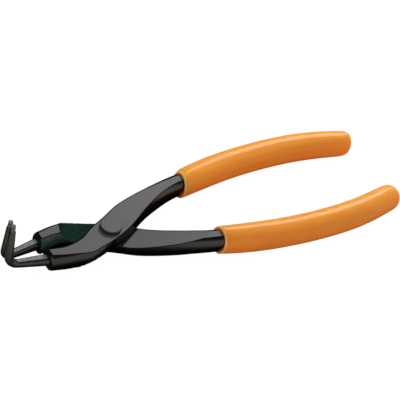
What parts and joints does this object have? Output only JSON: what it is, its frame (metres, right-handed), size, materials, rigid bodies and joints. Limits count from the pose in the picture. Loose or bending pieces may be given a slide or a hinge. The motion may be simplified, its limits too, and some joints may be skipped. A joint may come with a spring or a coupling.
{
  "type": "circlip pliers",
  "caption": "Hand pliers with tips bent square to the handles, for closing retaining rings in a bore; two forged levers on a riveted lap joint, with dipped grips.",
  "frame": {"origin": "on the pivot's axis, in the flat back face of the pivot rivet, on the side away from the bent tips", "axes": "+X from the tips to the handles, +Z along the pivot's axis towards the side that the bent tips point to, +Y across, towards the handle of the upper lever"},
  "size_m": [0.166, 0.0536, 0.0242],
  "materials": {
    "ground_steel": "ground flats, burnished near-black forged sides",
    "dipped_pvc": "smooth dipped PVC, soft gloss",
    "tip_steel": "burnished spring steel, bare pins",
    "rivet_steel": "ground flush head"
  },
  "bodies": {
    "lower_arm": {"lower_lever": "ground_steel", "lower_grip": "dipped_pvc", "lower_tip": "tip_steel", "pivot_rivet": "rivet_steel"},
    "upper_arm": {"upper_lever": "ground_steel", "upper_grip": "dipped_pvc", "upper_tip": "tip_steel"}
  },
  "joints": [
    {"name": "pivot", "type": "hinge", "parent": "lower_arm", "child": "upper_arm", "pos_m": [0, 0, 0.005], "axis": [0, 0, 1], "range_deg": [0, 28]}
  ]
}
